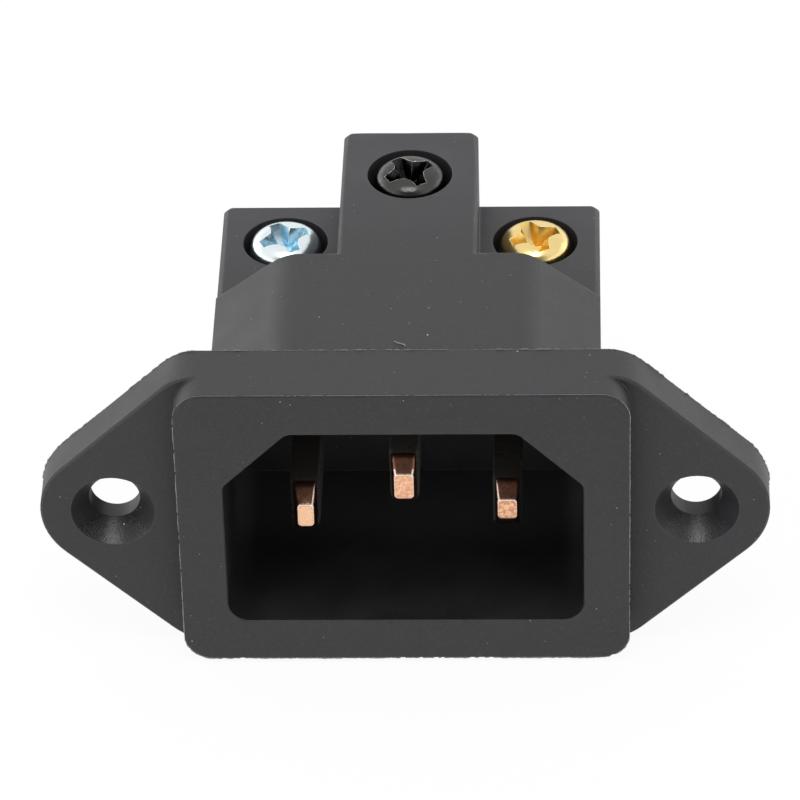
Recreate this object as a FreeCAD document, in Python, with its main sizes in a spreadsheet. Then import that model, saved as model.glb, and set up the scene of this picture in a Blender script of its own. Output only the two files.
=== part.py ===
import FreeCAD, Part
import math
import os
import Sketcher

# Panel power inlet, three blades in a chamfered well, screw flange, three box-clamp terminals.
# Frame: origin midway between the two fixing holes on the flange's rear face,
# +X to the right seen from the front, +Y to the back, +Z up (earth blade side). Millimetres.

SIZES = (
    ("hole_spacing", 40.0, "between the axes of the two fixing holes"),
    ("hole_radius", 1.75, "fixing hole"),
    ("countersink_radius", 2.9, "countersink at the flange's front face"),
    ("countersink_angle", 69.0, "included angle of the countersink"),
    ("wing_end_radius", 5.0, "round end of each wing, about its hole"),
    ("wing_slope", 43.5, "angle between a wing's edge and the flange's long axis"),
    ("wing_blend_radius", 3.5, "between a wing's edge and the flat top or bottom"),
    ("flange_thickness", 3.1, "front face to rear face of the flange"),
    ("flange_edge_chamfer", 0.15, "front edge of the flange"),
    ("frame_width", 30.8, "raised frame, along X"),
    ("frame_height", 22.8, "raised frame and flange, along Z"),
    ("frame_proud", 2.1, "how far the frame stands out of the flange"),
    ("frame_corner_radius", 2.0, "corners of the raised frame"),
    ("frame_edge_radius", 0.2, "front edge of the raised frame"),
    ("well_width", 24.5, "plug well, along X"),
    ("well_height", 16.1, "plug well, along Z"),
    ("well_depth", 17.0, "plug well, from the frame's front face"),
    ("well_chamfer", 4.45, "the two upper corners that key the plug"),
    ("well_corner_radius", 1.5, "lower corners of the well"),
    ("well_chamfer_radius", 0.9, "ends of the two keying chamfers"),
    ("well_mouth_chamfer", 0.12, "edge of the well at the front face"),
    ("floor_wall", 3.0, "wall between the well and the terminal chambers"),
    ("body_side_wall", 1.25, "wall of the body each side of the well, along X"),
    ("body_top_wall", 1.65, "wall of the body above and below the well, along Z"),
    ("body_corner_radius", 1.0, "lower corners of the body"),
    ("shoulder_length", 1.8, "full-height front of the body, past the well's floor"),
    ("shoulder_slope_width", 5.0, "sloping upper corner of the shoulder, along X"),
    ("shoulder_slope_height", 3.8, "sloping upper corner of the shoulder, along Z"),
    ("shoulder_blend_radius", 3.0, "between the slope and the shoulder's flat top"),
    ("side_block_length", 10.7, "side terminal blocks, past the chambers' front"),
    ("side_block_drop", 4.2, "side blocks' top below the shoulder's top"),
    ("centre_block_length", 13.95, "earth terminal block, past the chambers' front"),
    ("centre_block_width", 9.94, "earth terminal block at the flange, along X"),
    ("centre_block_draft", 0.3, "draft of the earth block's sides, in degrees"),
    ("centre_block_floor", 1.8, "wall under the earth terminal chamber"),
    ("block_corner_radius", 0.7, "rear upright corners of the blocks"),
    ("block_edge_chamfer", 0.3, "top edges of the blocks"),
    ("blade_spacing", 14.0, "between the centres of the two side blades"),
    ("side_blade_drop", 2.0, "side blades' centre below the well's centre"),
    ("earth_blade_rise", 4.0, "earth blade above the side blades"),
    ("blade_thickness", 2.0, "blade, along X"),
    ("blade_height", 4.0, "blade, along Z"),
    ("blade_tip_thickness", 1.35, "flat end of the tip, along X"),
    ("blade_tip_height", 2.15, "flat end of the tip, along Z"),
    ("blade_tip_length", 1.15, "tapered tip, along Y"),
    ("blade_edge_chamfer", 0.12, "edges round the flat end of the tip"),
    ("side_tip_depth", 4.4, "side blades' tips behind the frame's front face"),
    ("earth_tip_lead", 2.1, "earth blade's tip in front of the side blades' tips"),
    ("blade_stop_step", 0.6, "stop behind the floor wall, over the blade each way"),
    ("tang_thickness", 1.2, "riveted end of the blade, along X"),
    ("tang_height", 2.6, "riveted end of the blade, along Z"),
    ("terminal_aside", 1.9, "side screws' axes outside their blades' centres"),
    ("terminal_side_wall", 1.45, "least wall of the body outside a terminal chamber, along X"),
    ("side_screw_setback", 4.6, "side screws' axes in front of the side blocks' rear faces"),
    ("earth_screw_setback", 5.45, "earth screw's axis in front of the centre block's rear face"),
    ("wire_room_width", 4.3, "inside the box clamp, along X"),
    ("wire_room_height", 4.2, "under the open pressure plate"),
    ("clamp_wall", 0.95, "side walls and floor of the box clamp"),
    ("clamp_roof", 1.8, "threaded roof of the box clamp"),
    ("clamp_front_wall", 1.2, "front wall of the box clamp, riveted to the blade"),
    ("clamp_front", 3.6, "box clamp in front of the screw's axis"),
    ("clamp_rear", 4.0, "box clamp behind the screw's axis"),
    ("clamp_over_blade", 2.8, "top of the box clamp above the blade's centre"),
    ("clamp_slip", 0.05, "gap between the box clamp and its chamber, each side"),
    ("clamp_edge_radius", 0.3, "long outer edges of the box clamp"),
    ("chamber_lead_in", 0.4, "chamfer round the chambers' rear mouths"),
    ("plate_thickness", 0.7, "pressure plate"),
    ("plate_slip", 0.1, "gap between the pressure plate and the box clamp, each side"),
    ("plate_lift_gap", 0.05, "between the open pressure plate and the roof"),
    ("thread_radius", 1.5, "M3 thread in the roof"),
    ("thread_play", 0.06, "radial play of the screw in its thread and in the plate"),
    ("screw_travel", 3.5, "seven turns from open to clamped"),
    ("head_stop_gap", 0.1, "left under the head when clamped"),
    ("head_radius", 2.65, "pan head"),
    ("head_height", 2.1, "pan head"),
    ("head_round", 0.95, "rounded upper edge of the pan head"),
    ("head_well_gap", 0.38, "between the head and its well, radially"),
    ("journal_radius", 0.9, "tip of the screw that turns in the pressure plate"),
    ("journal_flare", 0.35, "flared end that holds the plate, over the journal"),
    ("recess_span", 3.3, "cross recess at the top of the head, tip to tip"),
    ("recess_arm", 0.75, "width of an arm of the cross recess, at its tip"),
    ("recess_waist", 0.62, "corner between two arms, from the axis along each arm"),
    ("recess_floor_span", 1.3, "cross recess at its floor, tip to tip"),
    ("recess_floor_arm", 0.4, "width of an arm at the floor of the recess"),
    ("recess_floor_waist", 0.24, "corner between two arms at the floor of the recess"),
    ("recess_depth", 1.3, "cross recess"),
    ("recess_turn", 31.0, "cross recess turned from the X axis, in degrees"),
)

SAME_PLACE = 0.01

document = FreeCAD.newDocument("PanelInlet")
sheet = document.addObject("Spreadsheet::Sheet", "Sizes")
for row, (alias, value, meaning) in enumerate(SIZES, start=1):
    sheet.set(f"A{row}", alias)
    sheet.set(f"B{row}", str(value))
    sheet.set(f"C{row}", meaning)
    sheet.setAlias(f"B{row}", alias)
document.recompute()


def size(alias):
    """The number in the sheet's cell."""
    return float(sheet.get(alias))


def cells(expression):
    """An expression in the sheet's aliases, with each alias led back to the sheet."""
    words = expression.split(" ")
    aliases = {alias for alias, _, _ in SIZES}
    return " ".join("Sizes." + word if word in aliases else word for word in words)


# Heights and depths that several pieces share, as expressions in the sheet's aliases
CLAMP_WIDTH = "( wire_room_width + 2 * clamp_wall )"
SIDE_SCREW_X = "( blade_spacing / 2 + terminal_aside )"
CHAMBER_SIDE = f"( {SIDE_SCREW_X} + {CLAMP_WIDTH} / 2 + clamp_slip )"
HALF_WIDTH = f"max( well_width / 2 + body_side_wall ; {CHAMBER_SIDE} + terminal_side_wall )"
HALF_HEIGHT = "( well_height / 2 + body_top_wall )"
FRAME_FRONT = "( flange_thickness + frame_proud )"
WELL_FLOOR = "( well_depth - flange_thickness - frame_proud )"
CHAMBER_FRONT = f"( {WELL_FLOOR} + floor_wall )"
SHOULDER_REAR = f"( {WELL_FLOOR} + shoulder_length )"
SIDE_BLOCK_REAR = f"( {CHAMBER_FRONT} + side_block_length )"
CENTRE_BLOCK_REAR = f"( {CHAMBER_FRONT} + centre_block_length )"
CLAMP_HEIGHT = "( clamp_roof + plate_lift_gap + plate_thickness + wire_room_height + clamp_wall )"
CLAMP_LENGTH = "( clamp_front + clamp_rear )"
SCREW_LENGTH = "( screw_travel + head_stop_gap + clamp_roof )"
HEAD_WELL_RADIUS = "( head_radius + head_well_gap )"
SIDE_SCREW_Y = f"( {SIDE_BLOCK_REAR} - side_screw_setback )"
EARTH_SCREW_Y = f"( {CENTRE_BLOCK_REAR} - earth_screw_setback )"
SIDE_BLADE_Z = "( -1 * side_blade_drop )"
EARTH_BLADE_Z = "( earth_blade_rise - side_blade_drop )"

# Each pole: blade's X, terminal's X, blade's Z, screw's Y and the depth of its tip
POLES = {
    "neutral": {
        "blade_x": "( blade_spacing / -2 )",
        "terminal_x": f"( -1 * {SIDE_SCREW_X} )",
        "blade_z": SIDE_BLADE_Z,
        "screw_y": SIDE_SCREW_Y,
        "tip_y": f"( side_tip_depth - {FRAME_FRONT} )",
    },
    "live": {
        "blade_x": "( blade_spacing / 2 )",
        "terminal_x": SIDE_SCREW_X,
        "blade_z": SIDE_BLADE_Z,
        "screw_y": SIDE_SCREW_Y,
        "tip_y": f"( side_tip_depth - {FRAME_FRONT} )",
    },
    "earth": {
        "blade_x": "0",
        "terminal_x": "0",
        "blade_z": EARTH_BLADE_Z,
        "screw_y": EARTH_SCREW_Y,
        "tip_y": f"( side_tip_depth - earth_tip_lead - {FRAME_FRONT} )",
    },
}


def bind(thing, path, expression):
    """Bind a property of a document object to the sheet."""
    thing.setExpression(path, cells(expression))


def new_body(label):
    body = document.addObject("PartDesign::Body", label)
    body.Label = label
    return body


def place(body, x, y, z):
    """Bind a body's place to the sheet."""
    for axis, expression in (("x", x), ("y", y), ("z", z)):
        bind(body, f"Placement.Base.{axis}", expression)


def new_sketch(body, name, role, offset="0"):
    """A sketch on one of the body's own planes, moved along that plane's normal by offset."""
    plane = next(f for f in body.Origin.OriginFeatures if f.Role == role)
    sketch = body.newObject("Sketcher::SketchObject", name)
    sketch.AttachmentSupport = (plane, [""])
    sketch.MapMode = "FlatFace"
    bind(sketch, "AttachmentOffset.Base.z", offset)
    return sketch


def upright(body, name, y="0"):
    """A sketch in a plane across Y, drawn in X and Z. That plane's normal is -Y."""
    return new_sketch(body, name, "XZ_Plane", f"-1 * ( {y} )")


def level(body, name, z="0"):
    """A sketch in a level plane, drawn in X and Y. That plane's normal is +Z."""
    return new_sketch(body, name, "XY_Plane", z)


def add_polygon(sketch, corners):
    """A closed outline whose every corner is held by two bound distances."""
    count = len(corners)
    start = []
    for index in range(count):
        turn = 2 * math.pi * index / count
        start.append(FreeCAD.Vector(math.cos(turn), math.sin(turn), 0))
    lines = []
    for index in range(count):
        segment = Part.LineSegment(start[index], start[(index + 1) % count])
        lines.append(sketch.addGeometry(segment, False))
    for index, line in enumerate(lines):
        following = lines[(index + 1) % count]
        sketch.addConstraint(Sketcher.Constraint("Coincident", line, 2, following, 1))
    for line, corner in zip(lines, corners):
        for kind, expression in zip(("DistanceX", "DistanceY"), corner):
            constraint = sketch.addConstraint(Sketcher.Constraint(kind, line, 1, 0.0))
            bind(sketch, f"Constraints[{constraint}]", expression)
    return lines


def rectangle(left, right, low, high):
    return [(left, low), (right, low), (right, high), (left, high)]


def add_rounded_rectangle(sketch, width, height, radius):
    """A rectangle about the origin whose corners are arcs, named by the sheet's aliases."""
    x, y, r = size(width) / 2, size(height) / 2, size(radius)
    signs = ((1, 1), (-1, 1), (-1, -1), (1, -1))
    arcs = []
    for turn, (sign_x, sign_y) in enumerate(signs):
        centre = FreeCAD.Vector(sign_x * (x - r), sign_y * (y - r), 0)
        circle = Part.Circle(centre, FreeCAD.Vector(0, 0, 1), r)
        arc = Part.ArcOfCircle(circle, turn * math.pi / 2, (turn + 1) * math.pi / 2)
        arcs.append(sketch.addGeometry(arc, False))
        reach = (f"( {sign_x} * ( {width} / 2 - {radius} ) )",
                 f"( {sign_y} * ( {height} / 2 - {radius} ) )")
        for kind, expression in zip(("DistanceX", "DistanceY"), reach):
            constraint = sketch.addConstraint(
                Sketcher.Constraint(kind, arcs[-1], 3, centre.x if kind == "DistanceX" else centre.y))
            bind(sketch, f"Constraints[{constraint}]", expression)
    for turn, arc in enumerate(arcs):
        following = arcs[(turn + 1) % len(arcs)]
        start = sketch.getPoint(arc, 2)
        end = sketch.getPoint(following, 1)
        line = sketch.addGeometry(Part.LineSegment(start, end), False)
        sketch.addConstraint(Sketcher.Constraint("Tangent", arc, 2, line, 1))
        sketch.addConstraint(Sketcher.Constraint("Tangent", line, 2, following, 1))
    constraint = sketch.addConstraint(Sketcher.Constraint("Radius", arcs[0], r))
    bind(sketch, f"Constraints[{constraint}]", radius)


def add_circle(sketch, x, y, radius):
    """A circle whose centre and radius are bound."""
    circle = Part.Circle(FreeCAD.Vector(0, 0, 0), FreeCAD.Vector(0, 0, 1), 1.0)
    index = sketch.addGeometry(circle, False)
    for kind, expression in (("DistanceX", x), ("DistanceY", y)):
        constraint = sketch.addConstraint(Sketcher.Constraint(kind, index, 3, 0.0))
        bind(sketch, f"Constraints[{constraint}]", expression)
    constraint = sketch.addConstraint(Sketcher.Constraint("Radius", index, 1.0))
    bind(sketch, f"Constraints[{constraint}]", radius)


def finish_feature(feature, before, sign):
    """Recompute, and stop if the feature didn't add or take away material as it should."""
    document.recompute()
    change = feature.Shape.Volume - before
    if sign * change <= 0:
        raise RuntimeError(f"{feature.Label} left the solid as it was")
    return feature


def volume_of(body):
    return body.Tip.Shape.Volume if body.Tip else 0.0


def pad(body, name, sketch, length, backwards=False):
    """Extrude along the sketch's normal, or backwards against it."""
    before = volume_of(body)
    feature = body.newObject("PartDesign::Pad", name)
    feature.Profile = sketch
    feature.Reversed = backwards
    bind(feature, "Length", length)
    return finish_feature(feature, before, 1)


def pocket(body, name, sketch, length, along_normal=False):
    """Cut against the sketch's normal, or along it."""
    before = volume_of(body)
    feature = body.newObject("PartDesign::Pocket", name)
    feature.Profile = sketch
    feature.Reversed = along_normal
    bind(feature, "Length", length)
    return finish_feature(feature, before, -1)


def loft(body, kind, name, first, last):
    """A ruled loft between two sketches, added or cut away."""
    before = volume_of(body)
    feature = body.newObject(f"PartDesign::{kind}Loft", name)
    feature.Profile = first
    feature.Sections = [last]
    feature.Ruled = True
    return finish_feature(feature, before, 1 if kind == "Additive" else -1)


def revolve(body, kind, name, sketch, sign):
    """Turn a sketch about its own vertical axis."""
    before = volume_of(body)
    feature = body.newObject(f"PartDesign::{kind}", name)
    feature.Profile = sketch
    feature.ReferenceAxis = (sketch, ["V_Axis"])
    feature.Angle = 360.0
    return finish_feature(feature, before, sign)


def dress(body, kind, name, radius, wanted):
    """Fillet or chamfer the edges of the body's last feature that the test wants."""
    base = body.Tip
    edges = [f"Edge{i}" for i, edge in enumerate(base.Shape.Edges, start=1) if wanted(edge)]
    if not edges:
        raise RuntimeError(f"{name} found no edges")
    feature = body.newObject(f"PartDesign::{kind}", name)
    feature.Base = (base, edges)
    bind(feature, "Size" if kind == "Chamfer" else "Radius", radius)
    document.recompute()
    return feature


def near(first, second):
    return abs(first - second) < SAME_PLACE


def spans(edge):
    box = edge.BoundBox
    return (box.XLength, box.YLength, box.ZLength)


def runs_along(edge, axis):
    """A straight edge along the axis numbered 0, 1 or 2."""
    lengths = spans(edge)
    return all(near(length, 0) != (i == axis) for i, length in enumerate(lengths))


def middle_of(edge):
    return edge.BoundBox.Center


def lies_at(edge, axis, value):
    """The whole edge has the given coordinate along the axis numbered 0, 1 or 2."""
    return near(spans(edge)[axis], 0) and near(middle_of(edge)[axis], value)


def mirrored(expression):
    return f"-1 * {expression}"


def corner_at(edge, x, z):
    """An edge along Y whose place across it is the given one, on either side of the middle."""
    point = middle_of(edge)
    return runs_along(edge, 1) and near(abs(point.x), x) and near(point.z, z)


def build_flange(body):
    """The rhomboid flange: its round ends lie about the two fixing holes."""
    half_height = "( frame_height / 2 )"
    tip = "( hole_spacing / 2 + wing_end_radius / sin( wing_slope * 1 deg ) )"
    shoulder = f"( {tip} - frame_height / 2 / tan( wing_slope * 1 deg ) )"
    outline = [(tip, "0"), (shoulder, half_height), (mirrored(shoulder), half_height),
               (mirrored(tip), "0"), (mirrored(shoulder), mirrored(half_height)),
               (shoulder, mirrored(half_height))]
    sketch = upright(body, "FlangeOutline")
    add_polygon(sketch, outline)
    pad(body, "Flange", sketch, "flange_thickness")

    slope = math.radians(size("wing_slope"))
    tip_x = size("hole_spacing") / 2 + size("wing_end_radius") / math.sin(slope)
    corner_z = size("frame_height") / 2
    corner_x = tip_x - corner_z / math.tan(slope)
    front_y = -size("flange_thickness")
    dress(body, "Fillet", "WingEnds", "wing_end_radius", lambda e: corner_at(e, tip_x, 0))
    dress(body, "Fillet", "WingBlends", "wing_blend_radius",
          lambda e: corner_at(e, corner_x, corner_z) or corner_at(e, corner_x, -corner_z))
    dress(body, "Chamfer", "FlangeFrontEdge", "flange_edge_chamfer", lambda e: lies_at(e, 1, front_y))


def build_frame(body):
    """The raised frame round the well."""
    sketch = upright(body, "FrameOutline")
    add_rounded_rectangle(sketch, "frame_width", "frame_height", "frame_corner_radius")
    pad(body, "Frame", sketch, FRAME_FRONT)


def build_shoulder(body):
    """The full-height front of the body, its two upper corners sloping as the well's do."""
    slope_foot = f"( {HALF_HEIGHT} - shoulder_slope_height )"
    slope_head = f"( {HALF_WIDTH} - shoulder_slope_width )"
    bottom = mirrored(HALF_HEIGHT)
    sketch = upright(body, "ShoulderOutline")
    add_polygon(sketch, [(mirrored(HALF_WIDTH), bottom), (HALF_WIDTH, bottom),
                         (HALF_WIDTH, slope_foot), (slope_head, HALF_HEIGHT),
                         (mirrored(slope_head), HALF_HEIGHT), (mirrored(HALF_WIDTH), slope_foot)])
    box = pad(body, "Shoulder", sketch, SHOULDER_REAR, backwards=True).Shape.BoundBox
    dress(body, "Fillet", "ShoulderBlends", "shoulder_blend_radius",
          lambda e: corner_at(e, box.XMax - size("shoulder_slope_width"), box.ZMax))
    dress(body, "Fillet", "LowerCorners", "body_corner_radius",
          lambda e: corner_at(e, box.XMax, box.ZMin))


def build_side_blocks(body):
    """The lower block behind the shoulder that holds the two side terminals."""
    top = f"( {HALF_HEIGHT} - side_block_drop )"
    sketch = upright(body, "SideBlockOutline")
    add_polygon(sketch, rectangle(mirrored(HALF_WIDTH), HALF_WIDTH, mirrored(HALF_HEIGHT), top))
    box = pad(body, "SideBlocks", sketch, SIDE_BLOCK_REAR, backwards=True).Shape.BoundBox
    dress(body, "Fillet", "SideRearCorners", "block_corner_radius",
          lambda e: runs_along(e, 2) and near(middle_of(e).y, box.YMax))
    dress(body, "Chamfer", "SideTopEdges", "block_edge_chamfer",
          lambda e: runs_along(e, 1) and near(middle_of(e).z, box.ZMax))


def build_centre_block(body):
    """The earth terminal's block, which narrows to the back by its draft."""
    half = "( centre_block_width / 2 )"
    narrowed = f"( {half} - {CENTRE_BLOCK_REAR} * tan( centre_block_draft * 1 deg ) )"
    bottom = f"( {EARTH_BLADE_Z} + clamp_over_blade - {CLAMP_HEIGHT} - centre_block_floor )"
    front = upright(body, "CentreBlockFront")
    add_polygon(front, rectangle(mirrored(half), half, bottom, HALF_HEIGHT))
    back = upright(body, "CentreBlockBack", CENTRE_BLOCK_REAR)
    add_polygon(back, rectangle(mirrored(narrowed), narrowed, bottom, HALF_HEIGHT))
    box = loft(body, "Additive", "CentreBlock", front, back).Shape.BoundBox
    dress(body, "Fillet", "CentreRearCorners", "block_corner_radius",
          lambda e: runs_along(e, 2) and near(middle_of(e).y, box.YMax))
    dress(body, "Chamfer", "CentreTopEdges", "block_edge_chamfer",
          lambda e: lies_at(e, 2, box.ZMax) and spans(e)[1] > box.YMax / 2)


def cut_well(body):
    """The plug well with its two keying chamfers."""
    side = "( well_width / 2 )"
    top = "( well_height / 2 )"
    chamfer_foot = "( well_height / 2 - well_chamfer )"
    chamfer_head = "( well_width / 2 - well_chamfer )"
    sketch = upright(body, "WellOutline", mirrored(FRAME_FRONT))
    add_polygon(sketch, [(mirrored(side), mirrored(top)), (side, mirrored(top)),
                         (side, chamfer_foot), (chamfer_head, top),
                         (mirrored(chamfer_head), top), (mirrored(side), chamfer_foot)])
    pocket(body, "Well", sketch, "well_depth")
    side_x = size("well_width") / 2
    top_z = size("well_height") / 2
    chamfer = size("well_chamfer")
    dress(body, "Fillet", "WellCorners", "well_corner_radius",
          lambda e: corner_at(e, side_x, -top_z))
    dress(body, "Fillet", "WellChamferEnds", "well_chamfer_radius",
          lambda e: corner_at(e, side_x, top_z - chamfer) or corner_at(e, side_x - chamfer, top_z))


def cut_fixing_holes(body):
    """Two through holes, each with a cone down from the flange's front face."""
    cone_depth = "( ( countersink_radius - hole_radius ) / tan( countersink_angle / 2 * 1 deg ) )"
    sketch = upright(body, "HoleCentres", mirrored("flange_thickness"))
    for x in ("( hole_spacing / 2 )", "( hole_spacing / -2 )"):
        add_circle(sketch, x, "0", "hole_radius")
    pocket(body, "FixingHoles", sketch, "flange_thickness")
    front = upright(body, "CountersinkRims", mirrored("flange_thickness"))
    floor = upright(body, "CountersinkFloors", f"{cone_depth} - flange_thickness")
    add_circle(front, "( hole_spacing / 2 )", "0", "countersink_radius")
    add_circle(floor, "( hole_spacing / 2 )", "0", "hole_radius")
    before = volume_of(body)
    cone = loft(body, "Subtractive", "Countersink", front, floor)
    mirror = body.newObject("PartDesign::Mirrored", "OtherCountersink")
    mirror.Originals = [cone]
    mirror.MirrorPlane = (next(f for f in body.Origin.OriginFeatures if f.Role == "YZ_Plane"), [""])
    body.Tip = mirror
    finish_feature(mirror, before, -1)


def cut_chambers(body):
    """Three terminal chambers, open at the back, each with a slot for its blade."""
    slots = upright(body, "BladeSlots", mirrored(FRAME_FRONT))
    for pole in POLES.values():
        left = f"( {pole['blade_x']} - blade_thickness / 2 )"
        right = f"( {pole['blade_x']} + blade_thickness / 2 )"
        low = f"( {pole['blade_z']} - blade_height / 2 )"
        high = f"( {pole['blade_z']} + blade_height / 2 )"
        add_polygon(slots, rectangle(left, right, low, high))
    pocket(body, "BladeSlotCuts", slots, "well_depth + floor_wall")

    mouths = upright(body, "ChamberMouths", CENTRE_BLOCK_REAR)
    for pole in POLES.values():
        left = f"( {pole['terminal_x']} - {CLAMP_WIDTH} / 2 - clamp_slip )"
        right = f"( {pole['terminal_x']} + {CLAMP_WIDTH} / 2 + clamp_slip )"
        low = f"( {pole['blade_z']} + clamp_over_blade - {CLAMP_HEIGHT} )"
        high = f"( {pole['blade_z']} + clamp_over_blade + clamp_slip )"
        add_polygon(mouths, rectangle(left, right, low, high))
    pocket(body, "Chambers", mouths, "centre_block_length", along_normal=True)


def lead_in(body):
    """A chamfer round each chamber's rear mouth."""
    half_width = size("wire_room_width") / 2 + size("clamp_wall") + size("clamp_slip")
    rear_y = body.Tip.Shape.BoundBox.YMax
    step = size("centre_block_length") - size("side_block_length")
    mouths = ((0, rear_y), (size("blade_spacing") / 2 + size("terminal_aside"), rear_y - step))

    def at_mouth(edge):
        for x, y in mouths:
            reach = abs(abs(middle_of(edge).x) - x) + spans(edge)[0] / 2
            if lies_at(edge, 1, y) and near(reach, half_width):
                return True
        return False

    dress(body, "Chamfer", "ChamberLeadIn", "chamber_lead_in", at_mouth)


def cut_screw_wells(body):
    """Round wells from the blocks' tops down to the chambers."""
    for name, poles in (("SideScrewWells", ("neutral", "live")), ("EarthScrewWell", ("earth",))):
        sketch = level(body, name + "Centres", HALF_HEIGHT)
        for pole in poles:
            place_of = POLES[pole]
            add_circle(sketch, place_of["terminal_x"], place_of["screw_y"], HEAD_WELL_RADIUS)
        depth = f"{HALF_HEIGHT} - {POLES[poles[0]]['blade_z']} - clamp_over_blade"
        pocket(body, name, sketch, depth)


def ease_front_edges(body):
    """A small chamfer at the well's mouth, and a small round on the frame's outer edge."""
    front_y = -(size("flange_thickness") + size("frame_proud"))
    between_x = (size("well_width") + size("frame_width")) / 4
    between_z = (size("well_height") + size("frame_height")) / 4

    def at_mouth(edge):
        box = edge.BoundBox
        inside = max(-box.XMin, box.XMax) < between_x and max(-box.ZMin, box.ZMax) < between_z
        return lies_at(edge, 1, front_y) and inside

    dress(body, "Chamfer", "MouthEdge", "well_mouth_chamfer", at_mouth)
    dress(body, "Fillet", "FrameFrontEdge", "frame_edge_radius",
          lambda e: lies_at(e, 1, front_y) and not at_mouth(e))


def build_housing():
    """The moulding: frame, flange, shoulder, terminal blocks, and all that is cut into them."""
    body = new_body("housing")
    build_side_blocks(body)
    build_centre_block(body)
    build_shoulder(body)
    build_flange(body)
    build_frame(body)
    cut_well(body)
    cut_fixing_holes(body)
    cut_chambers(body)
    lead_in(body)
    cut_screw_wells(body)
    ease_front_edges(body)
    return body


def build_blade(pole):
    """A stamped blade: tapered tip, stop behind the floor wall, riveted tang at the back."""
    where = POLES[pole]
    body = new_body(f"{pole}_pin")
    tip_y = where["tip_y"]
    root_y = f"( {tip_y} + blade_tip_length )"
    clamp_y = f"( {where['screw_y']} - clamp_front )"

    def section(name, y, thickness, height):
        sketch = upright(body, name, y)
        add_polygon(sketch, rectangle(f"( {thickness} / -2 )", f"( {thickness} / 2 )",
                                      f"( {height} / -2 )", f"( {height} / 2 )"))
        return sketch

    tip = section("TipEnd", tip_y, "blade_tip_thickness", "blade_tip_height")
    root = section("TipRoot", root_y, "blade_thickness", "blade_height")
    loft(body, "Additive", "Tip", tip, root)
    shank = section("ShankSection", root_y, "blade_thickness", "blade_height")
    pad(body, "Shank", shank, f"{CHAMBER_FRONT} - {root_y}", backwards=True)
    stop = section("StopSection", CHAMBER_FRONT, "blade_thickness",
                   "( blade_height + 2 * blade_stop_step )")
    pad(body, "Stop", stop, f"{clamp_y} - {CHAMBER_FRONT}", backwards=True)
    tang = section("TangSection", clamp_y, "tang_thickness", "tang_height")
    pad(body, "Tang", tang, "clamp_front_wall", backwards=True)
    end_y = size("side_tip_depth") - size("flange_thickness") - size("frame_proud")
    if pole == "earth":
        end_y -= size("earth_tip_lead")
    dress(body, "Chamfer", "TipEdges", "blade_edge_chamfer", lambda e: lies_at(e, 1, end_y))
    place(body, where["blade_x"], "0", where["blade_z"])
    return body


def build_clamp(pole):
    """A box clamp: threaded roof, wire room open to the back, front wall riveted to the blade."""
    where = POLES[pole]
    body = new_body(f"{pole}_terminal")
    half = f"( {CLAMP_WIDTH} / 2 )"
    sketch = upright(body, "ClampSection", "clamp_rear")
    add_polygon(sketch, rectangle(mirrored(half), half, mirrored(CLAMP_HEIGHT), "0"))
    pad(body, "ClampBlock", sketch, CLAMP_LENGTH)
    dress(body, "Fillet", "ClampEdges", "clamp_edge_radius", lambda e: runs_along(e, 1))

    room = "( wire_room_width / 2 )"
    sketch = upright(body, "WireRoomSection", "clamp_rear")
    add_polygon(sketch, rectangle(mirrored(room), room, f"clamp_wall - {CLAMP_HEIGHT}",
                                  mirrored("clamp_roof")))
    pocket(body, "WireRoom", sketch, f"{CLAMP_LENGTH} - clamp_front_wall", along_normal=True)

    sketch = level(body, "ThreadCentre")
    add_circle(sketch, "0", "0", "thread_radius")
    pocket(body, "ThreadedHole", sketch, "clamp_roof")

    aside = f"( {where['blade_x']} - {where['terminal_x']} )"
    sketch = upright(body, "TangSlotSection", mirrored("clamp_front"))
    add_polygon(sketch, rectangle(f"( {aside} - tang_thickness / 2 )",
                                  f"( {aside} + tang_thickness / 2 )",
                                  "( tang_height / -2 - clamp_over_blade )",
                                  "( tang_height / 2 - clamp_over_blade )"))
    pocket(body, "TangSlot", sketch, "clamp_front_wall")
    place(body, where["terminal_x"], where["screw_y"],
          f"( {where['blade_z']} + clamp_over_blade )")
    return body


def build_plate(pole):
    """The pressure plate that hangs on the screw's tip and presses the wire."""
    where = POLES[pole]
    body = new_body(f"{pole}_pressure_plate")
    half = "( wire_room_width / 2 - plate_slip )"
    sketch = level(body, "PlateOutline")
    add_polygon(sketch, rectangle(mirrored(half), half,
                                  "( clamp_front_wall + plate_slip - clamp_front )",
                                  "( clamp_rear - plate_slip )"))
    pad(body, "Plate", sketch, "plate_thickness", backwards=True)

    sketch = upright(body, "JournalHoleProfile")
    hole = "( journal_radius + thread_play )"
    flared = "( journal_radius + journal_flare + thread_play )"
    add_polygon(sketch, [("0", "0"), (hole, "0"), (hole, "( plate_thickness / -2 )"),
                         (flared, mirrored("plate_thickness")), ("0", mirrored("plate_thickness"))])
    revolve(body, "Groove", "JournalHole", sketch, -1)
    place(body, where["terminal_x"], where["screw_y"],
          f"( {where['blade_z']} + clamp_over_blade - clamp_roof - plate_lift_gap )")
    return body


def cross(span, arm, waist):
    """The twelve corners of a cross with flared arms, from its right tip's lower corner on."""
    reach = f"( {span} / 2 )"
    half = f"( {arm} / 2 )"
    quarter = [(reach, mirrored(half)), (reach, half), (waist, waist)]
    corners = []
    for _ in range(4):
        corners.extend(quarter)
        quarter = [(mirrored(f"( {y} )"), x) for x, y in quarter]
    return corners


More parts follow.
